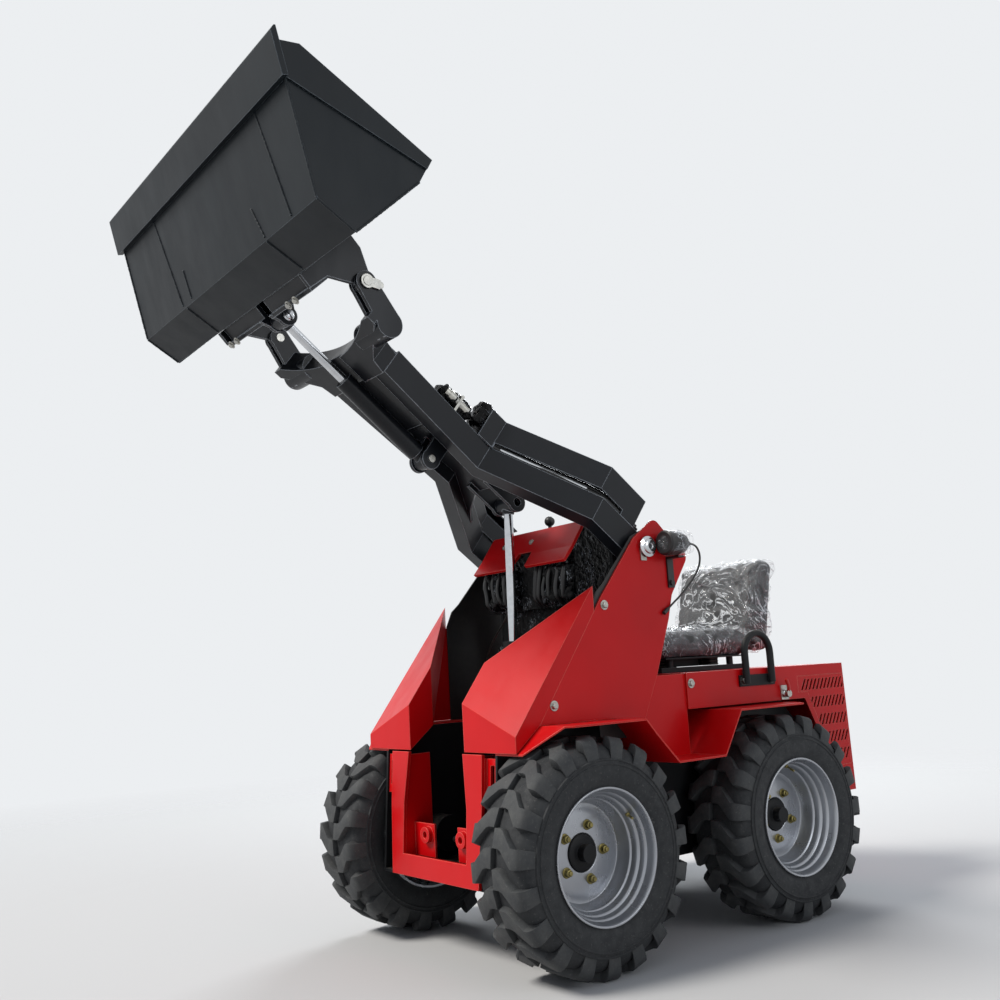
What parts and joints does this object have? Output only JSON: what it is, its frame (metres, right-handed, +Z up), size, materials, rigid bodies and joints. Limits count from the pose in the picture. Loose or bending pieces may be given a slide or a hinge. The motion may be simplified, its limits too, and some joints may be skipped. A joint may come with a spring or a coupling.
{
  "type": "skid steer loader",
  "caption": "Compact ride-on skid steer loader with a raised wishbone boom, tilting bucket, spinning wheels and a rear hood that tips back under the seat.",
  "frame": {"origin": "on the ground, under the middle of the whole machine with the boom raised", "axes": "+X forward, +Y to the driver's left, +Z up"},
  "size_m": [2.1278, 1.142, 2.1886],
  "materials": {
    "red_paint": "gloss red paint",
    "boom_paint": "semi-gloss dark grey paint",
    "bucket_paint": "semi-gloss charcoal paint",
    "frame_paint": "satin black paint",
    "rim_paint": "satin silver paint",
    "tyre": "moulded rubber",
    "rod_chrome": "polished chrome",
    "zinc": "zinc plated steel",
    "black_plastic": "matt black plastic",
    "seat_cover": "black vinyl under clear wrap",
    "engine": "painted castings"
  },
  "bodies": {
    "chassis": {"main_frame": "frame_paint", "front_plate": "red_paint", "tie_down_plates": "red_paint", "slot_cheeks": "red_paint", "pod_left": "red_paint", "pod_right": "red_paint", "tower_plate_left": "red_paint", "tower_plate_right": "red_paint", "pivot_inner_plates": "red_paint", "boom_pivot_pins": "zinc", "fender_left": "red_paint", "fender_right": "red_paint", "foot_well_floor": "frame_paint", "console": "black_plastic", "console_pedestal": "frame_paint", "console_visor": "red_paint", "control_levers": "black_plastic", "work_lamp": "black_plastic", "lamp_cable": "black_plastic", "engine_block": "engine", "rear_bumper": "frame_paint", "wheel_motors_front": "frame_paint", "wheel_motors_rear": "frame_paint", "lift_bracket": "frame_paint"},
    "hood": {"hood": "red_paint", "hood_grilles": "red_paint", "seat_frame": "frame_paint", "seat_cushion": "seat_cover", "seat_back": "seat_cover", "grab_handles": "frame_paint", "hood_latch": "black_plastic"},
    "boom": {"boom_arm_left": "boom_paint", "boom_arm_right": "boom_paint", "boom_web": "boom_paint", "boom_head": "boom_paint", "hose_guards": "boom_paint", "bucket_hinge_pins": "zinc", "quick_couplers": "zinc", "tilt_foot_pin": "zinc"},
    "lift_barrel": {"lift_barrel": "frame_paint"},
    "lift_rod": {"lift_rod": "rod_chrome"},
    "tilt_barrel": {"tilt_barrel": "boom_paint"},
    "tilt_rod": {"tilt_rod": "rod_chrome"},
    "bucket": {"bucket": "bucket_paint", "cutting_edge": "bucket_paint", "side_cutters": "bucket_paint", "quick_attach": "boom_paint"},
    "wheel_front_left": {"rim_front_left": "rim_paint", "tyre_front_left": "tyre"},
    "wheel_front_right": {"rim_front_right": "rim_paint", "tyre_front_right": "tyre"},
    "wheel_rear_left": {"rim_rear_left": "rim_paint", "tyre_rear_left": "tyre"},
    "wheel_rear_right": {"rim_rear_right": "rim_paint", "tyre_rear_right": "tyre"}
  },
  "joints": [
    {"name": "wheel_front_left_spin", "type": "hinge", "parent": "chassis", "child": "wheel_front_left", "pos_m": [0.1685, 0.395, 0.292], "axis": [0, 1, 0], "continuous": true},
    {"name": "wheel_front_right_spin", "type": "hinge", "parent": "chassis", "child": "wheel_front_right", "pos_m": [0.1685, -0.395, 0.292], "axis": [0, 1, 0], "continuous": true},
    {"name": "wheel_rear_left_spin", "type": "hinge", "parent": "chassis", "child": "wheel_rear_left", "pos_m": [-0.6025, 0.395, 0.292], "axis": [0, 1, 0], "continuous": true},
    {"name": "wheel_rear_right_spin", "type": "hinge", "parent": "chassis", "child": "wheel_rear_right", "pos_m": [-0.6025, -0.395, 0.292], "axis": [0, 1, 0], "continuous": true},
    {"name": "boom_lift", "type": "hinge", "parent": "chassis", "child": "boom", "pos_m": [-0.1775, 0, 1.09], "axis": [0, -1, 0], "range_deg": [-88.5, 0]},
    {"name": "bucket_tilt", "type": "hinge", "parent": "boom", "child": "bucket", "pos_m": [0.66846, 0, 1.76826], "axis": [0, 1, 0], "range_deg": [-20, 85]},
    {"name": "hood_tilt", "type": "hinge", "parent": "chassis", "child": "hood", "pos_m": [-1.0525, 0, 0.296], "axis": [0, -1, 0], "range_deg": [0, 55]},
    {"name": "lift_barrel_swing", "type": "hinge", "parent": "chassis", "child": "lift_barrel", "pos_m": [0.0585, 0, 0.3], "axis": [0, -1, 0], "range_deg": [-0.05, 4.2]},
    {"name": "lift_rod_slide", "type": "slide", "parent": "lift_barrel", "child": "lift_rod", "axis": [-0.0235, 0, 0.9997], "range_m": [-0.3765, 0.0005]},
    {"name": "tilt_barrel_swing", "type": "hinge", "parent": "boom", "child": "tilt_barrel", "pos_m": [0.33349, 0, 1.37494], "axis": [0, -1, 0], "range_deg": [-0.5, 1.8]},
    {"name": "tilt_rod_slide", "type": "slide", "parent": "tilt_barrel", "child": "tilt_rod", "axis": [0.7748, 0, 0.6322], "range_m": [-0.1435, 0.0345]}
  ],
  "couplings": [
    {"joint": "lift_barrel_swing", "follows": "boom_lift", "ratio": -0.0463},
    {"joint": "lift_rod_slide", "follows": "boom_lift", "m_per_rad": 0.24362},
    {"joint": "tilt_barrel_swing", "follows": "bucket_tilt", "ratio": 0.02},
    {"joint": "tilt_rod_slide", "follows": "bucket_tilt", "m_per_rad": -0.096257}
  ]
}
